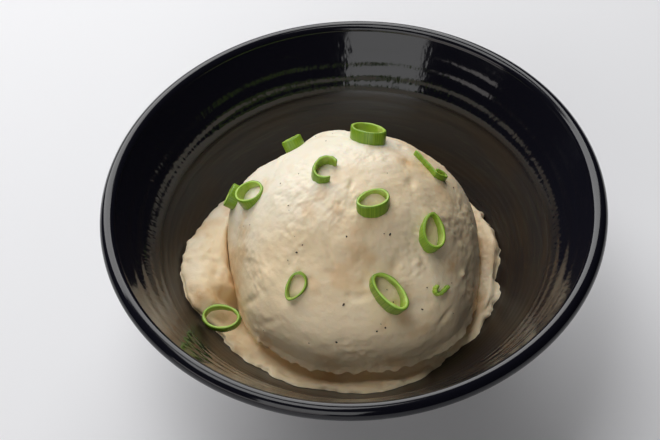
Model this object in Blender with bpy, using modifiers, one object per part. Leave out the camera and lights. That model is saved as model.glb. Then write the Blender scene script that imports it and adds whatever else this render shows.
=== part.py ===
"""A scoop of mashed potato with spring onion, served in a small turned bowl.

Units are metres, +Z is up, and the origin is the middle of the foot ring's underside.
"""

import math
from collections import namedtuple

import bmesh
import bpy
import numpy as np
from mathutils import Matrix, Vector
from mathutils.bvhtree import BVHTree

# ---------------------------------------------------------------- bowl sizes
BOWL_HEIGHT = 0.058
LIP_RADIUS = 0.0699
LIP_ROLL = 0.0024
WALL_TOP_RADIUS = 0.0679
WALL_TOP_DROP = 0.0014
WALL_TOP_SLOPE = math.radians(57)
WALL_MID_RADIUS = 0.0504
WALL_MID_SLOPE = math.radians(50)
WALL_THICKNESS = 0.0030
FLOOR_THICKNESS = 0.0045
FOOT_RADIUS = 0.0290
FOOT_WIDTH = 0.0036
FOOT_ROUND = 0.0005
BOWL_STEPS = 60

# ---------------------------------------------------------------- potato sizes
SCOOP_RADIUS = 0.0374
SCOOP_CENTRE_DROP = 0.0292
SCOOP_SKIRT = 0.0048
SCOOP_SEAT_RADIUS = 0.0345
BED_EDGE_RADIUS = 0.0425
POTATO_STEPS = 48
GAP = 0.0003
POTATO_GAP = 0.0009

# The scoop's front has slumped: it is carried by SLUMP_REACH towards SLUMP_TURN (azimuth and
# elevation), fading out towards the top, round the sides and, by SLUMP_LIP, under the lip.
SLUMP_AZIMUTH = 268.0
SLUMP_SPREAD = 74.0
SLUMP_EASE = 30.0
SLUMP_TOP = 52.0
SLUMP_FOOT = 4.0
SLUMP_REACH = 0.0110
SLUMP_TURN = (270.0, 51.5)
SLUMP_LIP = 0.5

# ---------------------------------------------------------------- onion sizes
ONION_WALL = 0.0009
ONION_COLUMNS = 20
LOWEST_ONION = 0.0006
LIFT_STEP = 0.0001
LIFT_TRIES = 30


def arc(centre, radius, start, end, count):
    """Points of a circular arc in the (radius, height) plane, angles in radians."""
    angles = np.linspace(start, end, count)
    return [(centre[0] + radius * math.cos(a), centre[1] + radius * math.sin(a)) for a in angles]


# The inside of the bowl is two arcs that meet where the wall slopes by WALL_MID_SLOPE.
# The lower one is a spherical cap centred on the axis; the upper one is nearly straight.
CAP_RADIUS = WALL_MID_RADIUS / math.sin(WALL_MID_SLOPE)
WALL_ARC = (WALL_TOP_RADIUS - WALL_MID_RADIUS) / (math.sin(WALL_TOP_SLOPE) - math.sin(WALL_MID_SLOPE))
WALL_TOP = BOWL_HEIGHT - WALL_TOP_DROP
WALL_MID = WALL_TOP - WALL_ARC * (math.cos(WALL_MID_SLOPE) - math.cos(WALL_TOP_SLOPE))
CAP_CENTRE = (0.0, WALL_MID + CAP_RADIUS * math.cos(WALL_MID_SLOPE))
WALL_CENTRE = (
    WALL_MID_RADIUS - WALL_ARC * math.sin(WALL_MID_SLOPE),
    WALL_MID + WALL_ARC * math.cos(WALL_MID_SLOPE),
)
SCOOP_CENTRE = Vector((0.0, 0.0, BOWL_HEIGHT - SCOOP_CENTRE_DROP))
SCOOP_BASE = SCOOP_CENTRE.z - SCOOP_SKIRT


def wall_point(slope, thickness=0.0):
    """The inner surface's (radius, height) where it slopes by slope, pushed outward by thickness."""
    centre, radius = (CAP_CENTRE, CAP_RADIUS) if slope < WALL_MID_SLOPE else (WALL_CENTRE, WALL_ARC)
    reach = radius + thickness
    return (centre[0] + reach * math.sin(slope), centre[1] - reach * math.cos(slope))


def inner_height(radius):
    """Height of the bowl's inner surface at a distance from its axis."""
    radius = np.asarray(radius, dtype=float)
    cap = CAP_CENTRE[1] - np.sqrt(np.maximum(CAP_RADIUS**2 - radius**2, 0.0))
    reach = radius - WALL_CENTRE[0]
    wall = WALL_CENTRE[1] - np.sqrt(np.maximum(WALL_ARC**2 - reach**2, 0.0))
    return np.where(radius < WALL_MID_RADIUS, cap, wall)


def bowl_profile():
    """Half section of the bowl: up the inside, over the rolled lip, down the outside."""
    roll_centre = (LIP_RADIUS, BOWL_HEIGHT - LIP_ROLL)
    foot_slope = math.asin((FOOT_RADIUS + FOOT_ROUND) / (CAP_RADIUS + FLOOR_THICKNESS))
    under = CAP_CENTRE[1] - CAP_RADIUS - FLOOR_THICKNESS
    inner_foot = FOOT_RADIUS - FOOT_WIDTH
    points = [wall_point(slope) for slope in np.linspace(0.0, WALL_MID_SLOPE, 8)]
    points += [wall_point(slope) for slope in np.linspace(WALL_MID_SLOPE, WALL_TOP_SLOPE, 5)[1:]]
    points += arc(roll_centre, LIP_ROLL, math.radians(140), math.radians(-75), 9)
    for slope in np.concatenate([
        np.linspace(0.985 * WALL_TOP_SLOPE, WALL_MID_SLOPE, 4),
        np.linspace(WALL_MID_SLOPE, foot_slope, 6)[1:],
    ]):
        depth = (WALL_TOP_SLOPE - slope) / (WALL_TOP_SLOPE - foot_slope)
        points.append(wall_point(slope, WALL_THICKNESS + depth * (FLOOR_THICKNESS - WALL_THICKNESS)))
    points += [
        (FOOT_RADIUS, FOOT_ROUND),
        (FOOT_RADIUS - FOOT_ROUND, 0.0),
        (inner_foot + FOOT_ROUND, 0.0),
        (inner_foot, FOOT_ROUND),
        (inner_foot - FOOT_ROUND, under + 0.0006),
        (inner_foot - 5 * FOOT_ROUND, under),
        (0.0, under),
    ]
    return points


# ---------------------------------------------------------------- potato surfaces
# A lump lies in a direction (azimuth, elevation in degrees) seen from the scoop's centre,
# with a width in degrees and a rise in metres, which is negative for a dent.
Lump = namedtuple("Lump", "azimuth elevation width rise")
LUMPS = [
    Lump(158, 16, 11, 0.0026),
    Lump(143, 26, 8, 0.0012),
    Lump(124, 34, 6, -0.0006),
    Lump(102, 38, 8, 0.0016),
    Lump(84, 36, 7, -0.0005),
    Lump(20, 24, 10, 0.0009),
    Lump(312, -6, 12, 0.0016),
    Lump(292, 48, 7, -0.0007),
    Lump(245, 10, 12, 0.0006),
    Lump(205, 44, 9, 0.0006),
    Lump(70, 8, 14, 0.0010),
    Lump(115, -4, 12, 0.0012),
]
# A lobe of the bed reaches out from BED_EDGE_RADIUS round an azimuth (degrees).
Lobe = namedtuple("Lobe", "azimuth width reach")
BED_LOBES = [
    Lobe(178, 22, 0.0074),
    Lobe(202, 14, 0.0018),
    Lobe(235, 28, 0.0048),
    Lobe(275, 18, 0.0050),
    Lobe(0, 22, 0.0012),
]
# The height of the bed where it meets the scoop: a low groove, and shelves on both sides.
GROOVE_DEPTH = 0.0018
SHELVES = [Lobe(182, 38, 0.0110), Lobe(0, 28, 0.0050), Lobe(95, 30, 0.0050)]


def bell(distance, width):
    """A bell curve of height one."""
    return np.exp(-0.5 * (distance / width) ** 2)


def turn_between(azimuth, centre):
    """Signed turn in degrees from one azimuth to another."""
    return (np.asarray(azimuth, dtype=float) - centre + 180.0) % 360.0 - 180.0


def direction(azimuth, elevation):
    """Unit vector of an azimuth and an elevation in degrees."""
    azimuth, elevation = math.radians(azimuth), math.radians(elevation)
    level = math.cos(elevation)
    return Vector((level * math.cos(azimuth), level * math.sin(azimuth), math.sin(elevation)))


def lump_rise(ray):
    """How far the scoop's surface stands off its plain form along a unit vector."""
    rise = 0.0
    for lump in LUMPS:
        angle = math.degrees(math.acos(max(-1.0, min(1.0, ray.dot(direction(lump.azimuth, lump.elevation))))))
        rise += lump.rise * float(bell(angle, lump.width))
    azimuth = math.atan2(ray.y, ray.x)
    height = math.asin(max(-1.0, min(1.0, ray.z)))
    fade = math.cos(height)
    ripple = math.sin(5 * azimuth + 1.3) * math.sin(4 * height) + math.sin(9 * azimuth - 0.7) * math.cos(7 * height)
    return rise + 0.00022 * fade * ripple


def scoop_surface(ray):
    """Distance of the scoop's surface from its centre: a dome above, a straight skirt below."""
    plain = SCOOP_RADIUS
    if ray.z < 0.0:
        plain = SCOOP_RADIUS / math.sqrt(max(1.0 - ray.z**2, 0.25))
    return plain + lump_rise(ray)


def smooth_step(value, low, high):
    """Nought below low, one above high, and a smooth rise between."""
    share = max(0.0, min(1.0, (value - low) / (high - low)))
    return share * share * (3.0 - 2.0 * share)


def front_share(azimuth):
    """Nought round the back of the scoop and one along its front, azimuth in degrees."""
    turn = abs(float(turn_between(azimuth, SLUMP_AZIMUTH)))
    return 1.0 - smooth_step(turn, SLUMP_SPREAD - SLUMP_EASE, SLUMP_SPREAD)


def slump(point):
    """How far a point of the plain scoop is carried as its front slumps."""
    offset = point - SCOOP_CENTRE
    azimuth = math.degrees(math.atan2(offset.y, offset.x))
    elevation = math.degrees(math.atan2(offset.z, offset.xy.length))
    share = front_share(azimuth) * smooth_step(-elevation, -SLUMP_TOP, -SLUMP_FOOT)
    return direction(*SLUMP_TURN) * (share * SLUMP_REACH)


def slumped_lip(azimuth):
    """Where the lip at an azimuth in degrees of the plain scoop ends up."""
    side = SCOOP_RADIUS + lump_rise(direction(azimuth, -6))
    drop = SCOOP_SKIRT * (1.0 - SLUMP_LIP * front_share(azimuth))
    point = SCOOP_CENTRE + direction(azimuth, 0) * side - Vector((0.0, 0.0, drop))
    return point + slump(point)


def lip_table():
    """Azimuth, radius and height of the slumped lip, in the order of its azimuths."""
    lips = [slumped_lip(azimuth) for azimuth in range(0, 360, 2)]
    rows = [(math.degrees(math.atan2(lip.y, lip.x)) % 360.0, lip.xy.length, lip.z) for lip in lips]
    return np.array(sorted(rows)).T


def torn_lip(azimuth):
    """Ragged rise of the skirt's lower edge round the scoop, azimuth in radians."""
    ragged = math.sin(7 * azimuth + 0.4) + 0.8 * math.sin(13 * azimuth + 2.0) + 0.5 * math.sin(19 * azimuth)
    return 0.0004 * ragged


def bed_edge(azimuth):
    """Radius at which the bed meets the bowl's wall, azimuth in degrees."""
    reach = BED_EDGE_RADIUS
    for lobe in BED_LOBES:
        reach += lobe.reach * float(bell(turn_between(azimuth, lobe.azimuth), lobe.width))
    return reach + 0.0005 * math.sin(math.radians(8 * azimuth)) + 0.0003 * math.sin(math.radians(15 * azimuth))


def bed_shelf(azimuth):
    """Height of the bed close round the scoop, azimuth in degrees."""
    height = SCOOP_BASE - GROOVE_DEPTH
    for shelf in SHELVES:
        height += shelf.reach * float(bell(turn_between(azimuth, shelf.azimuth), shelf.width))
    return height


# ---------------------------------------------------------------- mesh helpers
def clear_scene():
    for item in list(bpy.data.objects):
        bpy.data.objects.remove(item, do_unlink=True)


def make_material(name, colour, roughness, metallic=0.0):
    material = bpy.data.materials.new(name)
    material.use_nodes = True
    shader = material.node_tree.nodes["Principled BSDF"]
    shader.inputs["Base Color"].default_value = (*colour, 1.0)
    shader.inputs["Roughness"].default_value = roughness
    shader.inputs["Metallic"].default_value = metallic
    return material


def add_object(name, mesh, material, collection):
    item = bpy.data.objects.new(name, mesh)
    mesh.materials.append(material)
    collection.objects.link(item)
    return item


def turned_object(name, profile, steps, material, collection):
    """A profile in the XZ plane, swept once round Z by a Screw modifier."""
    mesh = bpy.data.meshes.new(name)
    vertices = [(radius, 0.0, height) for radius, height in profile]
    edges = [(i, i + 1) for i in range(len(vertices) - 1)]
    mesh.from_pydata(vertices, edges, [])
    item = add_object(name, mesh, material, collection)
    screw = item.modifiers.new("Turned", "SCREW")
    screw.axis = "Z"
    screw.angle = math.tau
    screw.steps = steps
    screw.render_steps = steps
    screw.use_merge_vertices = True
    screw.merge_threshold = 0.00001
    screw.use_smooth_shade = True
    return item


def applied_mesh(item):
    """The object's mesh with its modifiers applied, its doubles welded and its faces outward."""
    depsgraph = bpy.context.evaluated_depsgraph_get()
    mesh = bpy.data.meshes.new_from_object(item.evaluated_get(depsgraph))
    form = bmesh.new()
    form.from_mesh(mesh)
    bmesh.ops.remove_doubles(form, verts=form.verts, dist=0.00001)
    bmesh.ops.recalc_face_normals(form, faces=form.faces)
    form.to_mesh(mesh)
    form.free()
    return mesh


def surface_tree(mesh):
    """A search tree over a mesh's faces."""
    corners = [vertex.co.copy() for vertex in mesh.vertices]
    return BVHTree.FromPolygons(corners, [tuple(face.vertices) for face in mesh.polygons])


def loft(name, rings, top, bottom):
    """A closed body between rings of equal count, listed from the top's middle outward and down."""
    form = bmesh.new()
    rows = [[form.verts.new(point) for point in ring] for ring in rings]
    top_point = form.verts.new(top)
    bottom_point = form.verts.new(bottom)
    count = len(rings[0])
    for i in range(count):
        j = (i + 1) % count
        form.faces.new((top_point, rows[0][i], rows[0][j]))
        form.faces.new((bottom_point, rows[-1][j], rows[-1][i]))
        for upper, lower in zip(rows, rows[1:]):
            form.faces.new((upper[i], lower[i], lower[j], upper[j]))
    bmesh.ops.recalc_face_normals(form, faces=form.faces)
    mesh = bpy.data.meshes.new(name)
    form.to_mesh(mesh)
    form.free()
    mesh.shade_smooth()
    return mesh


# ---------------------------------------------------------------- pieces
def build_bowl(collection):
    material = make_material("Black glaze", (0.012, 0.012, 0.016), 0.22)
    return turned_object("bowl", bowl_profile(), BOWL_STEPS, material, collection)


def build_scoop(material, collection):
    """The dome of potato: turned, then pushed in and out by its lumps and its torn lip."""
    centre = (0.0, SCOOP_CENTRE.z)
    profile = arc(centre, SCOOP_RADIUS, math.pi / 2, 0.0, 15)
    profile[0] = (0.0, profile[0][1])
    profile += [
        (SCOOP_RADIUS, SCOOP_CENTRE.z - 0.55 * SCOOP_SKIRT),
        (SCOOP_RADIUS, SCOOP_BASE + 0.0004),
        (SCOOP_SEAT_RADIUS, SCOOP_BASE),
        (0.5 * SCOOP_SEAT_RADIUS, SCOOP_BASE),
        (0.0, SCOOP_BASE),
    ]
    scoop = turned_object("mash_scoop", profile, POTATO_STEPS, material, collection)
    mesh = applied_mesh(scoop)
    for vertex in mesh.vertices:
        offset = vertex.co - SCOOP_CENTRE
        seated = offset.z < -0.9 * SCOOP_SKIRT and offset.xy.length < SCOOP_SEAT_RADIUS + 0.0005
        if seated:
            continue
        ray = offset.normalized()
        vertex.co += ray * lump_rise(ray)
        if offset.z < -0.5 * SCOOP_SKIRT:
            azimuth = math.atan2(ray.y, ray.x)
            lift = -offset.z * SLUMP_LIP * front_share(math.degrees(azimuth))
            vertex.co.z = max(vertex.co.z + torn_lip(azimuth) + lift, SCOOP_BASE - 0.0002)
        vertex.co += slump(vertex.co)
    scoop.modifiers.clear()
    scoop.data = mesh
    return scoop


def between(share, first, second):
    """The first (radius, height) where share is nought, the second where it is one."""
    return tuple((1.0 - share) * a + share * b for a, b in zip(first, second))


def bed_stations(azimuth, lips):
    """The bed's section at one azimuth in degrees: (radius, height) from the middle out and back.
    Round the back it swells up to the scoop, and in front it lies low under the slumped lip."""
    edge = bed_edge(azimuth)
    rim = float(inner_height(edge)) + 2 * GAP
    seat = SCOOP_BASE - GAP
    lip_radius = float(np.interp(azimuth, lips[0], lips[1], period=360.0))
    lip_height = float(np.interp(azimuth, lips[0], lips[2], period=360.0))
    slumped = front_share(azimuth)
    shelf = bed_shelf(azimuth)
    shelf += smooth_step(slumped, 0.0, 0.15) * (min(shelf, lip_height - 0.0018) - shelf)
    front = smooth_step(slumped, 0.15, 0.7)
    ray = direction(azimuth, 0)
    side = SCOOP_RADIUS + max(lump_rise(ray), lump_rise(direction(azimuth, -6)), lump_rise(direction(azimuth, 8)))
    wall = max(side, lip_radius) + 2.5 * GAP
    crest = 0.5 * (wall + edge) + 0.001
    swell = rim + 0.0022
    tuck = (lip_radius - 0.0046, lip_height - 0.0062)
    brow = (0.5 * (tuck[0] + edge), 0.5 * (tuck[1] + rim) - 0.0004)
    stations = [
        (0.012, seat),
        (0.024, seat),
        (0.033, seat),
        between(front, (wall - 0.0004, min(seat - 0.0002, shelf)), (SCOOP_SEAT_RADIUS + 0.0005, seat)),
        between(front, (wall, shelf), (0.5 * (SCOOP_SEAT_RADIUS + tuck[0]), 0.5 * (seat + tuck[1]))),
        between(front, (0.5 * (wall + crest), 0.5 * (shelf + swell) + 0.0004), tuck),
        between(front, (crest, swell), brow),
        between(front, (edge - 0.0012, rim + 0.0015), (edge - 0.0014, rim + 0.0004)),
        (edge, rim + 0.0003),
    ]
    for part in (0.93, 0.8, 0.6, 0.4, 0.2):
        radius = part * edge
        stations.append((radius, float(inner_height(radius)) + 2 * GAP))
    return stations


def clear_of(point, tree, gap):
    """The point, or the nearest place at least gap outside the surface in the tree."""
    for _ in range(6):
        place, normal, _, distance = tree.find_nearest(point)
        outside = (point - place).dot(normal) > 0.0
        if outside and distance >= gap:
            break
        point = place + normal * (gap + 0.00005)
    return point


def build_bed(scoop, material, collection):
    """The layer under the scoop: it fills the bowl's bottom and keeps clear of the scoop."""
    tree = surface_tree(scoop.data)
    lips = lip_table()
    columns = []
    for i in range(POTATO_STEPS):
        azimuth = 360.0 * i / POTATO_STEPS
        turn = Matrix.Rotation(math.radians(azimuth), 3, "Z")
        column = [turn @ Vector((radius, 0.0, height)) for radius, height in bed_stations(azimuth, lips)]
        columns.append(column[:4] + [clear_of(point, tree, POTATO_GAP) for point in column[4:9]] + column[9:])
    rings = [list(ring) for ring in zip(*columns)]
    top = (0.0, 0.0, SCOOP_BASE - GAP)
    bottom = (0.0, 0.0, float(inner_height(0.0)) + 2 * GAP)
    return add_object("mash_bed", loft("mash_bed", rings, top, bottom), material, collection)


# A piece of spring onion lies at a place on the scoop (azimuth, elevation), with its tube's
# axis along another direction. turn is the long side's angle about that axis. long and short
# are its half widths, tip draws one end to a point, and height is the tube's length.
# start and sweep (degrees) leave a ring open, and tail is a straight end after the curl.
Onion = namedtuple("Onion", "place axis turn long short tip height start sweep tail")
ONIONS = [
    Onion((122, 37), (122, 44), 0, 2.8, 2.2, 0.0, 2.9, 0, 360, 0.0),
    Onion((157, 78), (352, 83), 172, 3.8, 3.4, 0.0, 2.2, 135, 260, 0.0),
    Onion((74, 57), (76, 58), 143, 5.5, 4.0, 0.1, 3.0, 0, 360, 0.0),
    Onion((16, 46), (20, 62), 265, 2.2, 1.3, 0.0, 1.6, 190, 290, 9.5),
    Onion((159, 23), (161, 24), 10, 3.3, 3.0, 0.0, 1.9, 0, 360, 0.0),
    Onion((166, 38), (159, 63), 63, 4.7, 3.7, 0.1, 1.7, 0, 360, 0.0),
    Onion((301, 74), (82, 83), 33, 4.4, 3.2, 0.2, 2.1, 0, 360, 0.0),
    Onion((327, 48), (333, 59), 25, 5.1, 3.1, 0.3, 2.1, 0, 360, 0.0),
    Onion((236, 36), (246, 43), 253, 3.9, 2.4, 0.3, 1.2, 0, 360, 0.0),
    Onion((285, 36), (305, 62), 104, 5.9, 2.9, 0.0, 2.9, 0, 360, 0.0),
    Onion((311, 27), (314, 46), 327, 1.5, 1.2, 0.0, 1.5, -52, -195, 3.1),
]
# One ring lies on the bed's left shelf instead, at a point given as (azimuth, radius, height).
SHELF_ONION = Onion((212, 0.0460, 0.0355), (214, 78), 40, 5.2, 3.6, 0.1, 1.7, 0, 360, 0.0)


def onion_outline(piece):
    """The onion's centre line in its own plane: an ellipse, drawn out to a tip, with a tail."""
    count = ONION_COLUMNS
    closed = abs(piece.sweep) >= 360
    angles = np.radians(piece.start + piece.sweep * np.arange(count) / (count if closed else count - 1))
    scale = 0.001
    along = piece.long * scale * np.cos(angles)
    across = piece.short * scale * np.sin(angles) * (1.0 - piece.tip * np.cos(angles))
    points = np.column_stack([along, across])
    if piece.tail:
        heading = points[0] - points[1]
        heading /= np.linalg.norm(heading)
        steps = np.linspace(1.0, 0.25, 4)[:, None]
        points = np.vstack([points[0] + heading * piece.tail * scale * steps, points])
    return points, closed


def axis_frame(piece):
    """Unit vectors of an onion piece: its long side, its short side and its tube's axis."""
    axis = direction(*piece.axis)
    level = Vector((0.0, 0.0, 1.0)).cross(axis).normalized()
    raised = axis.cross(level)
    turn = math.radians(piece.turn)
    long_side = level * math.cos(turn) + raised * math.sin(turn)
    return long_side, axis.cross(long_side), axis


def drop_to_scoop(point, axis):
    """Lowest place along the tube's axis that leaves a gap to the scoop, wall thickness included."""
    for _ in range(8):
        ray = (point - SCOOP_CENTRE).normalized()
        lean = max(ray.dot(axis), 0.5)
        slant = math.sqrt(1.0 - lean**2) / lean
        gap = 1.6 * GAP + 0.5 * ONION_WALL * slant
        short_by = (point - SCOOP_CENTRE).length - scoop_surface(ray) - gap
        point = point - axis * (short_by / lean)
    return point


def lift_clear(onion, axis, trees):
    """Raise the piece along its axis until its wall touches nothing under it."""
    wall = applied_mesh(onion)
    for _ in range(LIFT_TRIES):
        tree = surface_tree(wall)
        touching = any(tree.overlap(other) for other in trees)
        near = any(other.find_nearest(vertex.co)[3] < 0.9 * GAP for vertex in wall.vertices for other in trees)
        if not touching and not near:
            return
        for mesh in (wall, onion.data):
            for vertex in mesh.vertices:
                vertex.co += axis * LIFT_STEP
    raise RuntimeError(f"{onion.name} doesn't come clear")


def build_onion(name, piece, trees, material, collection):
    """A bent strip of onion tube whose lower edge follows what it lies on."""
    long_side, short_side, axis = axis_frame(piece)
    points, closed = onion_outline(piece)
    on_shelf = len(piece.place) == 3
    if on_shelf:
        azimuth, radius, height = piece.place
        centre = direction(azimuth, 0) * radius + Vector((0.0, 0.0, height))
    else:
        ray = direction(*piece.place)
        centre = SCOOP_CENTRE + ray * (scoop_surface(ray) + GAP)
    rows = []
    for along, across in points:
        base = centre + long_side * along + short_side * across
        top = base + axis * (0.001 * piece.height)
        foot = base if on_shelf else drop_to_scoop(base, axis)
        if piece.tail:
            top = foot + axis * (0.001 * piece.height)
        if (top - foot).dot(axis) < LOWEST_ONION:
            top = foot + axis * LOWEST_ONION
        moved = Vector() if on_shelf else slump(foot)
        foot, top = foot + moved, top + moved
        rows.append((foot, foot.lerp(top, 0.5), top))
    form = bmesh.new()
    grid = [[form.verts.new(point) for point in row] for row in rows]
    pairs = list(zip(grid, grid[1:]))
    if closed:
        pairs.append((grid[-1], grid[0]))
    for left, right in pairs:
        for level in range(2):
            form.faces.new((left[level], right[level], right[level + 1], left[level + 1]))
    mesh = bpy.data.meshes.new(name)
    form.to_mesh(mesh)
    form.free()
    mesh.shade_smooth()
    onion = add_object(name, mesh, material, collection)
    wall = onion.modifiers.new("Wall", "SOLIDIFY")
    wall.thickness = ONION_WALL
    wall.offset = 0.0
    wall.use_rim = True
    lift_clear(onion, axis, trees)
    return onion


def main():
    clear_scene()
    collection = bpy.data.collections.new("mashed_potato_side")
    bpy.context.scene.collection.children.link(collection)
    build_bowl(collection)
    potato = make_material("Mashed potato", (0.80, 0.68, 0.50), 0.55)
    scoop = build_scoop(potato, collection)
    bed = build_bed(scoop, potato, collection)
    trees = [surface_tree(scoop.data), surface_tree(bed.data)]
    green = make_material("Spring onion", (0.18, 0.36, 0.02), 0.35)
    for number, piece in enumerate(ONIONS + [SHELF_ONION], start=1):
        build_onion(f"onion_{number:02d}", piece, trees, green, collection)


main()
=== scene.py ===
"""Looks of the mashed potato side: a scoop of potato with spring onion in a black glazed bowl."""

import math
from collections import namedtuple

import bpy
import numpy as np
from mathutils import Matrix, Vector


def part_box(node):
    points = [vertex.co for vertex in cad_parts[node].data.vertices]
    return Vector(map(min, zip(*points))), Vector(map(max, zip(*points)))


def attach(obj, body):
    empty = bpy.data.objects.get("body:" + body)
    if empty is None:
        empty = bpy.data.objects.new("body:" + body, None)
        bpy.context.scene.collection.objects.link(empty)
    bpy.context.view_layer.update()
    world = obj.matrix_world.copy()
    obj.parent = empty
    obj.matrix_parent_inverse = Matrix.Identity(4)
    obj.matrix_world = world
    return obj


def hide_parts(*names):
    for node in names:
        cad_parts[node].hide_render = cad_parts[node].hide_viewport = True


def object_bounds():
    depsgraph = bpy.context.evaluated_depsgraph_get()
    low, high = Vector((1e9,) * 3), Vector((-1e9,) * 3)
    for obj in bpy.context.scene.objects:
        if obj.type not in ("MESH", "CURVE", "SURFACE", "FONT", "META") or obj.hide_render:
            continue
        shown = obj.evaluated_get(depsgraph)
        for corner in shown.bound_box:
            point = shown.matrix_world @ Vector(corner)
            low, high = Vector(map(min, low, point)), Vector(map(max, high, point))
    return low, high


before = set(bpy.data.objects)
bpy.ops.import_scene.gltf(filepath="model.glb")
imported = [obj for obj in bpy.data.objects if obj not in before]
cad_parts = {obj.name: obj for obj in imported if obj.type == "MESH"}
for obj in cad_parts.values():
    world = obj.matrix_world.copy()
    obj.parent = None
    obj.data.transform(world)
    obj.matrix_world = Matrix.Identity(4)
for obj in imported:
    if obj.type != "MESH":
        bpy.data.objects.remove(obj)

bl_info = {
    "name": "Mashed Potato Side",
    "version": (1, 0, 0),
    "blender": (4, 5, 0),
    "location": "3D View > Sidebar > Potato Side",
    "description": "Builds the looks of a bowl of mashed potato with spring onion on its packed frame",
    "category": "Object",
}

CAD_BOX = [list(corner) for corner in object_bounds()]
MM = 0.001
# No cut edge of onion stands higher than EDGE_ROOM below the top of the whole object.
OBJECT_TOP = CAD_BOX[1][2]
EDGE_ROOM = 0.5 * MM

# ---------------------------------------------------------------- bowl, as in the frame
BOWL_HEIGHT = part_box("bowl")[1].z
LIP_ROLL = 2.4 * MM
LIP_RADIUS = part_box("bowl")[1].x - LIP_ROLL
WALL_TOP_RADIUS = LIP_RADIUS - 2.0 * MM
WALL_TOP = BOWL_HEIGHT - 1.4 * MM
WALL_TOP_SLOPE = math.radians(57)
WALL_MID_RADIUS = 50.4 * MM
WALL_MID_SLOPE = math.radians(50)
WALL_THICKNESS = 3.0 * MM
FLOOR_THICKNESS = 4.5 * MM
FOOT_RADIUS = 29.0 * MM
FOOT_WIDTH = 3.6 * MM
FOOT_ROUND = 0.5 * MM
CAP_RADIUS = WALL_MID_RADIUS / math.sin(WALL_MID_SLOPE)
WALL_ARC = (WALL_TOP_RADIUS - WALL_MID_RADIUS) / (math.sin(WALL_TOP_SLOPE) - math.sin(WALL_MID_SLOPE))
WALL_MID = WALL_TOP - WALL_ARC * (math.cos(WALL_MID_SLOPE) - math.cos(WALL_TOP_SLOPE))
CAP_CENTRE = np.array([0.0, WALL_MID + CAP_RADIUS * math.cos(WALL_MID_SLOPE)])
WALL_CENTRE = np.array([
    WALL_MID_RADIUS - WALL_ARC * math.sin(WALL_MID_SLOPE),
    WALL_MID + WALL_ARC * math.cos(WALL_MID_SLOPE),
])
BOWL_COLUMNS = 420
RIDGE_PITCH = 2.7 * MM
BAND_FOOT = 57.5 * MM

# ---------------------------------------------------------------- potato, as in the frame
SCOOP_RADIUS = 37.4 * MM
SCOOP_CENTRE = np.array([0.0, 0.0, BOWL_HEIGHT - 29.2 * MM])
SCOOP_SKIRT = 4.8 * MM
SCOOP_BASE = SCOOP_CENTRE[2] - SCOOP_SKIRT
SCOOP_SEAT_RADIUS = 34.5 * MM
BED_EDGE_RADIUS = 42.5 * MM
GROOVE_DEPTH = 1.8 * MM
SLUMP_AZIMUTH = 268.0
SLUMP_SPREAD = 74.0
SLUMP_TOP = 52.0
SLUMP_FOOT = 4.0
SLUMP_REACH = 11.0 * MM
SLUMP_TURN = (270.0, 51.5)
SLUMP_LIP = 0.5
SCOOP_COLUMNS = 440
BED_COLUMNS = 520
GAP = 0.3 * MM

# Lumps of the scoop: a direction from its centre (azimuth, elevation), a width in degrees
# and a rise in millimetres, which is negative for a dent.
Lump = namedtuple("Lump", "azimuth elevation width rise")
LUMPS = [
    Lump(158, 16, 11, 2.6),
    Lump(143, 26, 8, 1.2),
    Lump(124, 34, 6, -0.6),
    Lump(102, 38, 8, 1.6),
    Lump(84, 36, 7, -0.5),
    Lump(20, 24, 10, 0.9),
    Lump(312, -6, 12, 1.6),
    Lump(292, 48, 7, -0.7),
    Lump(245, 10, 12, 0.6),
    Lump(205, 44, 9, 0.6),
    Lump(70, 8, 14, 1.0),
    Lump(115, -4, 12, 1.2),
]
# Dents and knobs of the scoop: a direction, a half length and half width in degrees, the turn of
# the length from level, and a rise in millimetres.
Dent = namedtuple("Dent", "azimuth elevation length width turn rise")
DENTS = [
    Dent(294, 45, 2.6, 1.9, 30, -0.75),
    Dent(298, 44, 1.0, 0.8, 0, 0.35),
    Dent(250, 55, 4.6, 0.9, -56, -0.55),
    Dent(247, 52, 4.0, 1.0, -56, 0.30),
    Dent(252, 46, 1.8, 1.2, 0, -0.40),
    Dent(212, 53, 1.1, 0.9, 0, -0.55),
    Dent(262, 86, 2.6, 0.9, 80, -0.55),
    Dent(27, 61, 2.0, 1.6, 0, -0.60),
    Dent(2, 63, 2.3, 1.5, 0, -0.65),
    Dent(311, 40, 3.0, 1.5, 70, -0.45),
    Dent(329, 21, 1.0, 0.9, 0, 0.80),
    Dent(271, 36, 3.4, 1.4, 15, -0.50),
    Dent(235, 29, 3.2, 1.4, 20, -0.40),
    Dent(332, 14, 3.2, 1.8, 60, -0.75),
    Dent(310, 13, 3.0, 1.1, 20, -0.60),
    Dent(213, 14, 6.0, 0.9, 60, -0.55),
    Dent(226, 12, 5.0, 1.0, 50, -0.45),
    Dent(345, 30, 5.0, 1.2, 75, -0.50),
]
# Lobes of the bed: an azimuth, a width in degrees and a reach in millimetres.
Lobe = namedtuple("Lobe", "azimuth width reach")
BED_LOBES = [Lobe(178, 22, 7.4), Lobe(202, 14, 1.8), Lobe(235, 28, 4.8), Lobe(275, 18, 5.0), Lobe(0, 22, 1.2)]
SHELVES = [Lobe(182, 38, 11.0), Lobe(0, 28, 5.0), Lobe(95, 30, 5.0)]

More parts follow.
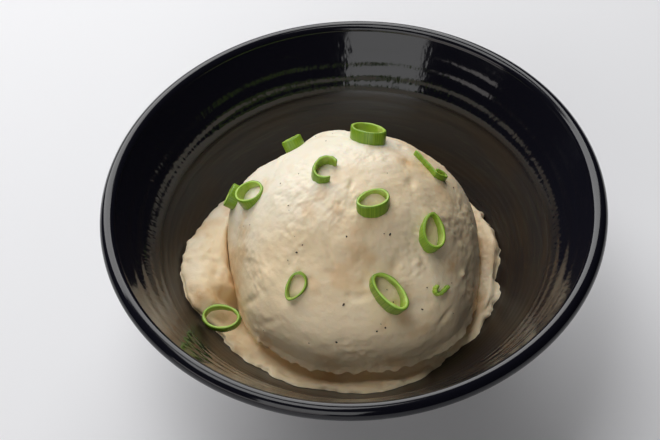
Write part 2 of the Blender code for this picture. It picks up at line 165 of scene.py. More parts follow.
# ---------------------------------------------------------------- spring onion, as in the frame
# place is a direction from the scoop's centre, or an azimuth, radius and height on the bed.
# axis is the tube's direction and turn the long side's angle about it. long and short are half
# widths in millimetres, tip draws one end to a point and height is the tube's length. start and
# sweep leave a ring open, tail is a straight end, and core is the size of a leaf inside it.
Onion = namedtuple("Onion", "place axis turn long short tip height start sweep tail wall core")
ONIONS = {
    "onion_01": Onion((122, 37), (122, 44), 0, 2.8, 2.2, 0.0, 2.9, 0, 360, 0.0, 0.9, 0.0),
    "onion_02": Onion((157, 78), (352, 83), 172, 3.8, 3.4, 0.0, 2.2, 135, 260, 0.0, 0.9, 0.0),
    "onion_03": Onion((74, 57), (76, 58), 143, 5.5, 4.0, 0.1, 3.0, 0, 360, 0.0, 0.9, 0.0),
    "onion_04": Onion((16, 46), (20, 62), 265, 2.2, 1.3, 0.0, 1.6, 190, 290, 9.5, 0.8, 0.0),
    "onion_05": Onion((159, 23), (161, 24), 10, 3.3, 3.0, 0.0, 1.9, 0, 360, 0.0, 0.9, 0.0),
    "onion_06": Onion((166, 38), (159, 63), 63, 4.7, 3.7, 0.1, 1.7, 0, 360, 0.0, 0.9, 0.0),
    "onion_07": Onion((301, 74), (82, 83), 33, 4.4, 3.2, 0.2, 2.1, 0, 360, 0.0, 0.9, 0.0),
    "onion_08": Onion((327, 48), (333, 59), 25, 5.1, 3.1, 0.3, 2.1, 0, 360, 0.0, 0.8, 0.0),
    "onion_09": Onion((236, 36), (246, 43), 253, 3.9, 2.4, 0.3, 1.2, 0, 360, 0.0, 0.6, 0.0),
    "onion_10": Onion((285, 36), (305, 62), 104, 5.9, 2.9, 0.0, 2.9, 0, 360, 0.0, 1.0, 0.0),
    "onion_11": Onion((311, 27), (314, 46), 327, 1.5, 1.2, 0.0, 1.5, -52, -195, 3.1, 0.9, 0.0),
    "onion_12": Onion((212, 46.0, 35.5), (214, 78), 40, 5.2, 3.6, 0.1, 1.7, 0, 360, 0.0, 0.9, 0.55),
}


# ---------------------------------------------------------------- patterns on points
def bell(distance, width):
    """A bell curve of height one: e to the power of minus half the squared distance over width."""
    return np.exp(-0.5 * (distance / width) ** 2)


def turn_between(azimuth, centre):
    """Signed turn in degrees from one azimuth to another."""
    return (azimuth - centre + 180.0) % 360.0 - 180.0


def direction(azimuth, elevation):
    """Unit vector of an azimuth and an elevation in degrees."""
    azimuth, elevation = np.radians(azimuth), np.radians(elevation)
    level = np.cos(elevation)
    upright = np.sin(elevation) + 0.0 * azimuth
    return np.stack([level * np.cos(azimuth), level * np.sin(azimuth), upright], axis=-1)


def lattice(corner, seed):
    """A repeatable number from -1 to 1 for each whole-number corner, mixed by a 32-bit hash."""
    corner = (corner & 0xFFFFFFFF).astype(np.uint32)
    mixed = corner[..., 0] * np.uint32(374761393) + corner[..., 1] * np.uint32(668265263)
    mixed = mixed + corner[..., 2] * np.uint32(2246822519) + np.uint32(seed * 3266489917 & 0xFFFFFFFF)
    mixed = (mixed ^ (mixed >> np.uint32(15))) * np.uint32(1274126177)
    mixed = (mixed ^ (mixed >> np.uint32(13))) * np.uint32(2654435761)
    return (mixed ^ (mixed >> np.uint32(16))) / 2147483647.5 - 1.0


def noise(points, size, seed):
    """Smooth noise: lattice numbers one size apart, blended between corners by 3t^2 - 2t^3."""
    cell = points / size
    base = np.floor(cell)
    blend = cell - base
    blend = blend * blend * (3.0 - 2.0 * blend)
    base = base.astype(np.int64)
    total = 0.0
    for corner in np.ndindex(2, 2, 2):
        weight = np.prod(np.where(corner, blend, 1.0 - blend), axis=-1)
        total = total + weight * lattice(base + np.array(corner), seed)
    return total


def layered(points, size, seed, layers):
    """Noise plus finer noise: each layer has half the size and half the height of the last."""
    return sum(0.5**i * noise(points, size * 0.5**i, seed + i) for i in range(layers))


def cells(points, size, seed):
    """Distance to the nearest of one scattered point in each lattice cell, in sizes."""
    cell = points / size
    base = np.floor(cell).astype(np.int64)
    nearest = np.full(cell.shape[:-1], 9.0)
    for corner in np.ndindex(3, 3, 3):
        home = base + np.array(corner) - 1
        jitter = np.stack([lattice(home, seed + i) for i in range(3)], axis=-1)
        nearest = np.minimum(nearest, np.linalg.norm(home + 0.5 + 0.45 * jitter - cell, axis=-1))
    return nearest


def smooth_step(value, low, high):
    """Nought below low, one above high and 3t^2 - 2t^3 between them."""
    t = np.clip((value - low) / (high - low), 0.0, 1.0)
    return t * t * (3.0 - 2.0 * t)


# ---------------------------------------------------------------- meshes from grids
def closed_mesh(name, grid, ring=False, **attributes):
    """A closed skin over a grid whose columns wrap. Rows wrap too if ring, or else each end row
    is closed by a fan to its mean point. Faces are turned so that the enclosed volume is positive."""
    rows, columns = grid.shape[:2]
    index = np.arange(rows * columns).reshape(rows, columns)
    beside = np.roll(index, -1, axis=1)
    points = grid.reshape(-1, 3)
    if ring:
        below, below_beside = np.roll(index, -1, axis=0), np.roll(beside, -1, axis=0)
        fans = np.zeros((0, 3), dtype=int)
    else:
        top, bottom = rows * columns, rows * columns + 1
        points = np.vstack([points, grid[0].mean(axis=0), grid[-1].mean(axis=0)])
        fans = np.vstack([
            np.stack([np.full(columns, top), index[0], beside[0]], axis=-1),
            np.stack([np.full(columns, bottom), beside[-1], index[-1]], axis=-1),
        ])
        below, below_beside = index[1:], beside[1:]
        index, beside = index[:-1], beside[:-1]
    quads = np.stack([index, below, below_beside, beside], axis=-1).reshape(-1, 4)
    halves = np.vstack([quads[:, [0, 1, 2]], quads[:, [0, 2, 3]], fans])
    a, b, c = (points[halves[:, i]] for i in range(3))
    if np.einsum("ij,ij->i", a, np.cross(b, c)).sum() < 0:
        quads, fans = quads[:, ::-1], fans[:, ::-1]
    mesh = bpy.data.meshes.new(name)
    mesh.from_pydata(points.tolist(), [], quads.tolist() + fans.tolist())
    for key, values in attributes.items():
        values = values.reshape(rows * columns)
        if not ring:
            values = np.append(values, [values[:columns].mean(), values[-columns:].mean()])
        mesh.attributes.new(key, "FLOAT", "POINT").data.foreach_set("value", values.astype(np.float32))
    mesh.shade_smooth()
    return mesh


def joined_mesh(name, corners, faces, **attributes):
    """Copies of one small closed form joined: corners is (copies, points, 3), faces index one copy."""
    copies, count = corners.shape[:2]
    offset = (np.arange(copies) * count)[:, None, None]
    mesh = bpy.data.meshes.new(name)
    shifted = (faces[None] + offset).reshape(-1, faces.shape[1])
    mesh.from_pydata(corners.reshape(-1, 3).tolist(), [], shifted.tolist())
    for key, values in attributes.items():
        flat = values.reshape(-1).astype(np.float32)
        mesh.attributes.new(key, "FLOAT", "POINT").data.foreach_set("value", flat)
    mesh.shade_smooth()
    return mesh


def outward(grid):
    """Unit normals of a grid whose columns wrap, from the differences between its neighbours."""
    across = np.roll(grid, -1, axis=1) - np.roll(grid, 1, axis=1)
    down = np.gradient(grid, axis=0)
    normal = np.cross(down, across)
    return normal / np.maximum(np.linalg.norm(normal, axis=-1, keepdims=True), 1e-12)


def place_piece(name, mesh, material, slot, *nodes):
    """Adds a finished mesh to the scene, riding on the body and standing for the nodes named."""
    mesh.materials.append(material)
    piece = bpy.data.objects.new(name, mesh)
    bpy.context.scene.collection.objects.link(piece)
    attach(piece, "root")
    if nodes:
        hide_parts(*nodes)
    return piece


# ---------------------------------------------------------------- shader recipes
class Wire:
    """A shader socket whose arithmetic adds Math nodes to its recipe."""

    def __init__(self, recipe, socket):
        self.recipe = recipe
        self.socket = socket

    def math(self, operation, *values, clamp=False):
        settings = {"operation": operation, "use_clamp": clamp}
        return self.recipe.node("ShaderNodeMath", settings, dict(enumerate((self, *values))))

    def __add__(self, other):
        return self.math("ADD", other)

    def __mul__(self, other):
        return self.math("MULTIPLY", other)

    __radd__ = __add__
    __rmul__ = __mul__

    def __sub__(self, other):
        return self.math("SUBTRACT", other)

    def __rsub__(self, other):
        return self * -1.0 + other

    def __truediv__(self, other):
        return self.math("DIVIDE", other)

    def __pow__(self, other):
        return self.math("POWER", other)

    def step(self, low, high):
        """Nought below low, one above high, smooth between."""
        settings = {"interpolation_type": "SMOOTHSTEP"}
        inputs = {"Value": self, "From Min": low, "From Max": high}
        return self.recipe.node("ShaderNodeMapRange", settings, inputs)


class Recipe:
    def __init__(self, name):
        self.material = bpy.data.materials.new(name)
        self.material.use_nodes = True
        self.tree = self.material.node_tree
        self.shader = self.tree.nodes["Principled BSDF"]

    def node(self, kind, settings=None, inputs=None, output=0):
        """Adds a node: settings first (stops fills a colour ramp), then socket values or links."""
        made = self.tree.nodes.new(kind)
        for key, value in (settings or {}).items():
            if key == "stops":
                self.fill_ramp(made.color_ramp, value)
            else:
                setattr(made, key, value)
        self.join(made, inputs or {})
        return Wire(self, made.outputs[output])

    def fill_ramp(self, ramp, stops):
        while len(ramp.elements) < len(stops):
            ramp.elements.new(1.0)
        for element, (position, colour) in zip(ramp.elements, stops):
            element.position = position
            element.color = (*colour, 1.0)

    def join(self, made, inputs):
        for key, value in inputs.items():
            socket = made.inputs[key]
            if isinstance(value, Wire):
                self.tree.links.new(value.socket, socket)
            elif socket.type == "RGBA" and len(value) == 3:
                socket.default_value = (*value, 1.0)
            else:
                socket.default_value = value

    def place(self):
        return self.node("ShaderNodeTexCoord", output="Object")

    def parts(self, vector):
        """The three numbers of a vector, a Wire each."""
        split = self.node("ShaderNodeSeparateXYZ", None, {0: vector}).socket.node
        return [Wire(self, socket) for socket in split.outputs]

    def vector(self, x, y, z):
        return self.node("ShaderNodeCombineXYZ", None, {0: x, 1: y, 2: z})

    def attribute(self, name):
        return self.node("ShaderNodeAttribute", {"attribute_name": name}, output="Fac")

    def grain(self, vector, scale, detail=2.0, roughness=0.5):
        """Noise texture at a number of features a metre, from 0 to 1."""
        inputs = {"Vector": vector, "Scale": scale, "Detail": detail, "Roughness": roughness}
        return self.node("ShaderNodeTexNoise", {"noise_dimensions": "3D"}, inputs, output="Fac")

    def blend(self, amount, first, second, blend_type="MIX"):
        """Mix of two colours, each a Wire or three numbers."""
        settings = {"data_type": "RGBA", "blend_type": blend_type, "clamp_factor": True}
        return self.node("ShaderNodeMix", settings, {0: amount, 6: first, 7: second}, output=2)

    def bump(self, height, depth, normal=None):
        """Bump of a height from 0 to 1, worth depth metres."""
        inputs = {"Height": height, "Distance": depth, "Strength": 1.0}
        if normal:
            inputs["Normal"] = normal
        return self.node("ShaderNodeBump", None, inputs)

    def finish(self, **inputs):
        self.join(self.shader, {key.replace("_", " "): value for key, value in inputs.items()})
        return self.material


# ---------------------------------------------------------------- glaze and bowl
def glaze_material(colours):
    """Black glaze. Below the top band it is duller, and fine turning lines run round it: noise whose
    features are long round the axis and short along the radius. Below the band the glaze is
    also painted browner, with olive streaks on the turning lines: a painted reflection of the
    potato in the lower wall. Chatter marks break up the band where the ridges are."""
    recipe = Recipe("Black glaze")
    place = recipe.place()
    x, y, z = recipe.parts(place)
    radius = (x * x + y * y) ** 0.5
    east, north = x / radius, y / radius
    lines = recipe.grain(recipe.vector(east * 3.0, north * 3.0, radius / (0.75 * MM)), 1.0, 3.0, 0.7)
    smears = recipe.grain(recipe.vector(east * 2.0, north * 2.0, radius / (4.0 * MM)), 1.0, 2.0, 0.5)
    chatter = recipe.grain(recipe.vector(east * 45.0, north * 45.0, radius / (1.5 * MM)), 1.0, 1.0, 0.5)
    inside = z.step(0.0, 1.0 * MM)
    lower = (1.0 - radius.step(BAND_FOOT - 1.5 * MM, BAND_FOOT + 0.5 * MM)) * inside
    band = radius.step(BAND_FOOT - 1.0 * MM, BAND_FOOT) * (1.0 - radius.step(66.0 * MM, 68.0 * MM))
    # Painted reflection: the browner base colour below the band and the olive streaks on the turning lines
    # stand in for the potato reflected in the lower wall.
    colour = recipe.blend(lower * (0.35 + smears.step(0.35, 0.65) * 0.65), colours.glaze, colours.glaze_potato_reflection)
    colour = recipe.blend(lower * lines.step(0.5, 0.75) * 0.6, colour, colours.glaze_olive_reflection)
    roughness = 0.09 + lower * 0.16 + lower * smears * 0.12
    height = lines * (lower * 0.9 + 0.1) + chatter * band * 0.8
    normal = recipe.bump(height, 0.045 * MM)
    return recipe.finish(
        Base_Color=colour,
        Roughness=roughness,
        Normal=normal,
        IOR=1.5,
        Specular_IOR_Level=0.45,
    )


def wall_point(slope, thickness=0.0):
    """Points (radius, height) of the inner surface where it slopes by slope, pushed out by a thickness."""
    slope = np.asarray(slope)
    low = (slope < WALL_MID_SLOPE)[:, None]
    centre = np.where(low, CAP_CENTRE, WALL_CENTRE)
    reach = np.where(low[:, 0], CAP_RADIUS, WALL_ARC) + thickness
    return centre + reach[:, None] * np.stack([np.sin(slope), -np.cos(slope)], axis=-1)


def round_points(centre, radius, start, end, count):
    """Points of an arc round a centre, from one angle to another in degrees."""
    angles = np.radians(np.linspace(start, end, count))
    return np.array(centre) + radius * np.stack([np.cos(angles), np.sin(angles)], axis=-1)


def inner_height(radius):
    """Height of the bowl's inner surface at a distance from its axis: the lower or the upper arc."""
    cap = CAP_CENTRE[1] - np.sqrt(np.maximum(CAP_RADIUS**2 - radius**2, 0.0))
    wall = WALL_CENTRE[1] - np.sqrt(np.maximum(WALL_ARC**2 - (radius - WALL_CENTRE[0]) ** 2, 0.0))
    return np.where(radius < WALL_MID_RADIUS, cap, wall)


def bowl_profile():
    """Half section of the bowl: up the inside, over the rolled lip, down the outside, round the foot."""
    foot_slope = math.asin((FOOT_RADIUS + FOOT_ROUND) / (CAP_RADIUS + FLOOR_THICKNESS))
    under = CAP_CENTRE[1] - CAP_RADIUS - FLOOR_THICKNESS
    inner_foot = FOOT_RADIUS - FOOT_WIDTH
    shown_slope = math.asin(41.0 * MM / CAP_RADIUS)
    slopes = np.concatenate([
        np.linspace(0.02, shown_slope, 16, endpoint=False),
        np.linspace(shown_slope, WALL_MID_SLOPE, 46, endpoint=False),
        np.linspace(WALL_MID_SLOPE, WALL_TOP_SLOPE, 84),
    ])
    outside = np.linspace(0.985 * WALL_TOP_SLOPE, foot_slope, 30)
    depth = (WALL_TOP_SLOPE - outside) / (WALL_TOP_SLOPE - foot_slope)
    foot = np.array([
        (FOOT_RADIUS, 3 * FOOT_ROUND),
        (FOOT_RADIUS, FOOT_ROUND),
        (FOOT_RADIUS - 0.3 * FOOT_ROUND, 0.3 * FOOT_ROUND),
        (FOOT_RADIUS - FOOT_ROUND, 0.0),
        (inner_foot + FOOT_ROUND, 0.0),
        (inner_foot + 0.3 * FOOT_ROUND, 0.3 * FOOT_ROUND),
        (inner_foot, FOOT_ROUND),
        (inner_foot - 0.6 * FOOT_ROUND, under + 0.8 * MM),
        (inner_foot - 2.0 * FOOT_ROUND, under + 0.1 * MM),
        (inner_foot - 5.0 * FOOT_ROUND, under),
        (1.0 * MM, under),
    ])
    inside = wall_point(slopes)
    lip = round_points((LIP_RADIUS, BOWL_HEIGHT - LIP_ROLL), LIP_ROLL, 140, -75, 26)
    outer = wall_point(outside, WALL_THICKNESS + depth * (FLOOR_THICKNESS - WALL_THICKNESS))
    return np.vstack([inside, lip, outer, foot]), len(inside)


def bowl_mesh(ridge_depth):
    """The profile turned round the axis. The inner wall carries turning ridges: a sine of the
    distance from the axis over RIDGE_PITCH whose phase and height wander with azimuth, strongest
    in the band under the lip. Two grooves part that band from finer, lower ridges below it."""
    profile, inside = bowl_profile()
    azimuth = np.linspace(0.0, math.tau, BOWL_COLUMNS, endpoint=False)
    radius = profile[:, :1] + 0.0 * azimuth
    ring = np.stack([np.cos(azimuth), np.sin(azimuth), 0.0 * azimuth], axis=-1)
    grid = ring[None] * radius[..., None]
    grid[..., 2] = profile[:, 1:]
    unrolled = ring[None] * 12.0 * MM + radius[..., None] * np.array([0.0, 0.0, 1.0])
    wander = noise(unrolled, 5.0 * MM, 3)
    swell = noise(unrolled * np.array([2.0, 2.0, 0.6]), 3.0 * MM, 5)
    above_foot = smooth_step(radius, BAND_FOOT, BAND_FOOT + 1.5 * MM)
    band = above_foot * (1.0 - smooth_step(radius, 64.0 * MM, 66.5 * MM))
    top = smooth_step(radius, 63.0 * MM, 65.0 * MM)
    coarse = band * (0.6 + 0.4 * swell) * np.sin(math.tau * radius / RIDGE_PITCH + 1.3 * wander)
    fine = (1.0 - band) * (1.0 - top) * 0.16 * np.sin(math.tau * radius / (1.3 * MM) + 3.0 * wander)
    grooves = bell(radius - (BAND_FOOT - 0.5 * MM + 0.25 * MM * wander), 0.45 * MM)
    grooves = grooves + 0.6 * bell(radius - (BAND_FOOT - 2.6 * MM), 0.3 * MM)
    rise = ridge_depth * (coarse + fine - 1.3 * grooves + 0.3 * top * swell)
    shown = smooth_step(radius, 38.0 * MM, 42.0 * MM) * (1.0 - smooth_step(radius, 67.0 * MM, 67.8 * MM))
    rise = rise * shown * (np.arange(len(profile)) < inside)[:, None]
    normal = outward(grid)
    normal = normal * np.where(np.sum(normal[:inside] * ring, axis=-1).mean() > 0.0, -1.0, 1.0)
    return closed_mesh("bowl_glazed", grid + normal * rise[..., None])


# ---------------------------------------------------------------- potato
def lumped(rays):
    """Rise of the scoop off its plain form along unit rays: bells for the lumps, and a ripple."""
    rise = 0.0
    for lump in LUMPS:
        angle = np.degrees(np.arccos(np.clip(rays @ direction(lump.azimuth, lump.elevation), -1.0, 1.0)))
        rise = rise + lump.rise * MM * bell(angle, lump.width)
    azimuth = np.arctan2(rays[..., 1], rays[..., 0])
    height = np.arcsin(np.clip(rays[..., 2], -1.0, 1.0))
    ripple = np.sin(5 * azimuth + 1.3) * np.sin(4 * height) + np.sin(9 * azimuth - 0.7) * np.cos(7 * height)
    return rise + 0.22 * MM * np.cos(height) * ripple


def scoop_reach(rays):
    """Distance of the scoop's surface from its centre along unit rays, its finer lumps included."""
    level = np.sqrt(np.maximum(1.0 - rays[..., 2] ** 2, 0.25))
    plain = np.where(rays[..., 2] < 0.0, SCOOP_RADIUS / level, SCOOP_RADIUS)
    return plain + lumped(rays) + dented(rays) + potato_relief(rays * SCOOP_RADIUS)


def dented(rays):
    """Rise along unit rays of the named dents and knobs: bells stretched along a turned line, where
    the two distances are the ray's lean to the east and to the north of the dent's direction."""
    rise = 0.0
    for dent in DENTS:
        centre = direction(dent.azimuth, dent.elevation)
        east = direction(dent.azimuth + 90.0, 0.0)
        north = np.cross(centre, east)
        turn = math.radians(dent.turn)
        along = np.degrees(rays @ (east * math.cos(turn) + north * math.sin(turn)))
        across = np.degrees(rays @ (north * math.cos(turn) - east * math.sin(turn)))
        near = np.where(rays @ centre > 0.5, bell(along, dent.length) * bell(across, dent.width), 0.0)
        rise = rise + dent.rise * MM * near
    return rise


def potato_relief(points):
    """Rise of the potato's surface: soft swells, level smears, scattered pits and knobs, and torn
    patches that carry fine crumbs. A pit is a bell of the distance to the nearest scattered point."""
    soft = 0.34 * noise(points, 11.0 * MM, 11) + 0.20 * noise(points, 5.0 * MM, 12)
    smears = 0.14 * noise(points * np.array([1.0, 1.0, 2.2]), 5.0 * MM, 16)
    torn = smooth_step(noise(points, 9.0 * MM, 13), -0.05, 0.45)
    pitted = smooth_step(noise(points, 14.0 * MM, 18), -0.2, 0.2)
    pits = 0.45 * bell(cells(points, 6.0 * MM, 17), 0.15) * pitted
    knobs = 0.20 * bell(cells(points, 4.0 * MM, 19), 0.20) * torn
    coarse = (0.07 + 0.20 * torn) * noise(points, 1.7 * MM, 14)
    crumbs = coarse + (0.06 + 0.12 * torn) * noise(points, 0.9 * MM, 15)
    return MM * (soft + smears - pits + knobs + crumbs)


def front_share(azimuth):
    """Nought round the back of the scoop and one along its front, where the potato has slumped."""
    return 1.0 - smooth_step(np.abs(turn_between(azimuth, SLUMP_AZIMUTH)), SLUMP_SPREAD - 30.0, SLUMP_SPREAD)


def slump(points):
    """How far each point moves as the front of the scoop slumps forward: SLUMP_REACH along
    SLUMP_TURN, times the front's share, fading to nought at the elevation SLUMP_TOP."""
    offset = points - SCOOP_CENTRE
    azimuth = np.degrees(np.arctan2(offset[..., 1], offset[..., 0]))
    elevation = np.degrees(np.arctan2(offset[..., 2], np.hypot(offset[..., 0], offset[..., 1])))
    share = front_share(azimuth) * smooth_step(-elevation, -SLUMP_TOP, -SLUMP_FOOT)
    return share[..., None] * SLUMP_REACH * direction(*SLUMP_TURN)


def torn_edge(azimuth):
    """Height of the torn edge's tongues and notches in millimetres: three layers of noise."""
    level = direction(azimuth, 0.0) * 40.0 * MM
    tongues = 0.8 * noise(level, 5.5 * MM, 21) + 0.6 * noise(level, 2.3 * MM, 22)
    return tongues + 0.35 * noise(level, 1.0 * MM, 26)


def lip_by_azimuth(azimuth):
    """Radius and height of the slumped scoop's plain lip, read off at each azimuth."""
    round_lip = np.linspace(0.0, 360.0, 721)[:-1]
    side = SCOOP_RADIUS + lumped(direction(round_lip, -6.0))
    lip = SCOOP_CENTRE + direction(round_lip, 0.0) * side[:, None]
    lip[:, 2] -= SCOOP_SKIRT * (1.0 - SLUMP_LIP * front_share(round_lip))
    lip = lip + slump(lip)
    turned = np.degrees(np.arctan2(lip[:, 1], lip[:, 0])) % 360.0
    order = np.argsort(turned)
    radius = np.hypot(lip[:, 0], lip[:, 1])
    return [
        np.interp(azimuth % 360.0, turned[order], part[order], period=360.0)
        for part in (radius, lip[:, 2])
    ]


def scoop_mesh():
    """The dome by azimuth and elevation, then a skirt down to a torn lip, all carried forward by
    the slump, and an underside back to the seat. Every row is a ring of points about the axis."""
    azimuth = np.linspace(0.0, 360.0, SCOOP_COLUMNS, endpoint=False)
    front = front_share(azimuth)
    flare = MM * (0.4 + 0.5 * front)
    elevation = np.linspace(89.0, 0.0, 140)[:, None]
    dome = direction(azimuth, elevation)
    level = direction(azimuth, 0.0)
    dome_points = dome * scoop_reach(dome)[..., None]
    drop = np.linspace(0.0, 1.0, 38)[1:, None]
    torn = torn_edge(azimuth)
    lip_drop = MM * np.maximum(SCOOP_SKIRT / MM * (1.0 - SLUMP_LIP * front) + 0.9 * torn, 0.4)
    rays = direction(azimuth, -np.degrees(np.arctan(drop * SCOOP_SKIRT / SCOOP_RADIUS)))
    reach = SCOOP_RADIUS + lumped(rays) + flare * drop**1.5 + 0.45 * MM * torn * drop**2
    skirt = level[None] * reach[..., None]
    skirt[..., 2] = -drop * lip_drop
    rough = 0.30 * noise(skirt, 2.2 * MM, 24) + 0.22 * noise(skirt, 1.1 * MM, 25)
    skirt += level[None] * (potato_relief(skirt) + MM * drop * rough)[..., None]
    plain = SCOOP_CENTRE + np.vstack([dome_points, skirt])
    outer = plain + slump(plain)
    inward = np.linspace(0.0, 1.0, 16)[1:, None, None]
    seat = SCOOP_CENTRE + level * SCOOP_SEAT_RADIUS
    seat[..., 2] = SCOOP_BASE
    under = outer[-1] + inward * (seat - outer[-1])
    under[..., 2] += 0.5 * MM * (front * np.sin(np.pi * inward[..., 0]))
    under += level[None] * (0.4 * MM * np.sin(np.pi * inward[..., 0]) * noise(under, 2.0 * MM, 27))[..., None]
    middle = seat * np.array([0.02, 0.02, 1.0])
    marks = potato_marks(np.vstack([plain, under, middle[None]]))
    return closed_mesh("scoop_of_potato", np.vstack([outer, under, middle[None]]), **marks)


# Toasted or torn patches: a direction from the scoop's centre and a width in degrees.
Patch = namedtuple("Patch", "azimuth elevation width")
PATCHES = [
    Patch(30, 60, 3.2), Patch(22, 52, 3.4), Patch(325, 30, 3.5), Patch(200, 8, 3.0), Patch(196, 2, 2.6),
]


def potato_marks(grid):
    """Marks that the potato's colour follows: tan where patches and soft noise are, torn near the lip, and
    paler towards the key light at the upper back, a painted highlight, with some random paler tone.
    """
    points = grid - SCOOP_CENTRE
    rays = points / np.maximum(np.linalg.norm(points, axis=-1, keepdims=True), 1e-9)
    tan = 0.5 * smooth_step(layered(points, 9.0 * MM, 31, 3), 0.25, 0.9)
    for patch in PATCHES:
        angle = np.degrees(np.arccos(np.clip(rays @ direction(patch.azimuth, patch.elevation), -1.0, 1.0)))
        tan = np.maximum(tan, bell(angle, patch.width) * (0.7 + 0.5 * noise(points, 1.2 * MM, 32)))
    # Painted highlight: the potato is made paler on the side facing the key light at the upper back, plus
    # some random paler tone from the noise.
    pale = smooth_step(rays @ direction(125, 45), 0.35, 1.0) + 0.35 * noise(points, 8.0 * MM, 33)
    return {"tan": np.clip(tan, 0.0, 1.0), "pale": np.clip(pale, 0.0, 1.0)}


def catmull(count, per_span):
    """Weights that carry a smooth curve through count stations, per_span points to each span."""
    rows = []
    for span in range(count - 1):
        for t in np.arange(per_span) / per_span:
            row = np.zeros(count)
            weights = (
                -0.5 * t + t**2 - 0.5 * t**3,
                1 - 2.5 * t**2 + 1.5 * t**3,
                0.5 * t + 2 * t**2 - 1.5 * t**3,
                -0.5 * t**2 + 0.5 * t**3,
            )
            for offset, weight in zip((-1, 0, 1, 2), weights):
                row[min(max(span + offset, 0), count - 1)] += weight
            rows.append(row)
    rows.append(np.eye(count)[-1])
    return np.array(rows)


def bed_edge(azimuth):
    """Radius at which the bed meets the bowl's wall: its lobes and an uneven line."""
    reach = BED_EDGE_RADIUS
    for lobe in BED_LOBES:
        reach = reach + lobe.reach * MM * bell(turn_between(azimuth, lobe.azimuth), lobe.width)
    return reach + 0.5 * MM * np.sin(np.radians(8 * azimuth)) + 0.3 * MM * np.sin(np.radians(15 * azimuth))


def between(share, first, second):
    """The first pair of values where share is nought, the second where it is one."""
    return [(1.0 - share) * a + share * b for a, b in zip(first, second)]


def bed_stations(azimuth):
    """The bed's section at each azimuth, (radius, height) from the scoop out to the wall and back."""
    edge = bed_edge(azimuth)
    lip_radius, lip_height = lip_by_azimuth(azimuth)
    slumped = front_share(azimuth)
    shelf = SCOOP_BASE - GROOVE_DEPTH + 0.0 * azimuth
    for lobe in SHELVES:
        shelf = shelf + lobe.reach * MM * bell(turn_between(azimuth, lobe.azimuth), lobe.width)
    shelf = shelf + smooth_step(slumped, 0.0, 0.15) * (np.minimum(shelf, lip_height - 1.8 * MM) - shelf)
    front = smooth_step(slumped, 0.15, 0.7)
    seat = SCOOP_BASE - GAP + 0.0 * azimuth
    level = direction(azimuth, 0.0)
    rises = [lumped(direction(azimuth, elevation)) for elevation in (-6.0, 0.0, 8.0)]
    side = SCOOP_RADIUS + np.max(rises, axis=0)
    wall = np.maximum(side, lip_radius - 0.9 * MM * slumped) + 0.2 * MM
    crest = 0.5 * (wall + edge) + 1.0 * MM
    rim = inner_height(edge)
    swell = rim + 2.3 * MM
    torn = 0.35 + 0.65 * np.maximum(bell(turn_between(azimuth, 5), 45), bell(turn_between(azimuth, 250), 45))
    uneven = noise(level * 45 * MM, 4.2 * MM, 41) + 0.7 * noise(level * 45 * MM, 1.5 * MM, 42)
    ragged = MM * torn * uneven
    end = edge + ragged
    tuck = (lip_radius - 4.6 * MM, lip_height - 6.2 * MM)
    brow = (0.5 * (lip_radius - 4.6 * MM + edge), 0.5 * (lip_height - 6.2 * MM + rim) - 0.4 * MM)
    face = (edge - 1.6 * MM + 0.5 * ragged, rim + 0.3 * MM)
    stations = [
        (0.0 * azimuth + 1.0 * MM, seat),
        (0.0 * azimuth + 24.0 * MM, seat),
        (0.0 * azimuth + 33.0 * MM, seat),
        (wall - 0.8 * MM, np.minimum(seat, shelf)),
        (wall, shelf),
        between(front, (0.5 * (wall + crest), 0.5 * (shelf + swell) + 0.4 * MM), tuck),
        between(front, (crest, swell), brow),
        between(front, (edge - 0.9 * MM + 0.5 * ragged, rim + 1.5 * MM), face),
        (end, inner_height(end) + 0.45 * MM),
        (end - 0.25 * MM, inner_height(end) - 0.08 * MM),
    ]
    for part in (0.9, 0.6, 0.3, 0.02):
        stations.append((part * edge, inner_height(part * edge) + 0.3 * MM))
    return np.array([np.stack(station, axis=-1) for station in stations])


def bed_mesh():
    """A smooth curve through each azimuth's stations, turned round the axis and given the potato's
    relief where it lies open to the air."""
    azimuth = np.linspace(0.0, 360.0, BED_COLUMNS, endpoint=False)
    stations = bed_stations(azimuth)
    curve = np.einsum("rs,sac->rac", catmull(len(stations), 11), stations)
    level = direction(azimuth, 0.0)
    grid = level[None] * curve[..., :1]
    grid[..., 2] = curve[..., 1]
    rows = np.arange(len(curve))[:, None] / 11.0
    open_air = smooth_step(rows, 3.2, 4.2) * (1.0 - smooth_step(rows, 7.6, 8.3))
    normal = outward(grid)
    normal *= np.where(normal[6 * 11, :1, 2:] < 0, -1.0, 1.0)
    relief = potato_relief(grid) + 0.25 * MM * noise(grid, 3.0 * MM, 51)
    grid = grid + normal * (open_air * relief)[..., None]
    return closed_mesh("spread_potato", grid, **potato_marks(grid))


def potato_material(colours):
    """Mashed potato: cream, paler towards the key light as a painted highlight and in random patches, with
    tan patches, faintly moist, with a fine crumb.
    """
    recipe = Recipe("Mashed potato")
    place = recipe.place()
    tan = recipe.attribute("tan")
    pale = recipe.attribute("pale")
    fine = recipe.grain(place, 700.0, 3.0, 0.6)
    crumb = recipe.grain(place, 1900.0, 2.0, 0.6)
    # The paler cream is a painted highlight on the lit upper back side, partly random tone.
    colour = recipe.blend(pale, colours.potato, colours.potato_pale_lit)
    colour = recipe.blend(tan * (0.55 + fine * 0.6), colour, colours.potato_tan)
    normal = recipe.bump(fine * 0.7 + crumb * 0.3, 0.16 * MM)
    return recipe.finish(
        Base_Color=colour,
        Roughness=0.42 + fine * 0.22,
        Normal=normal,
        Subsurface_Weight=0.3,
        Subsurface_Radius=(1.0, 0.6, 0.35),
        Subsurface_Scale=1.2 * MM,
        Specular_IOR_Level=0.4,
    )


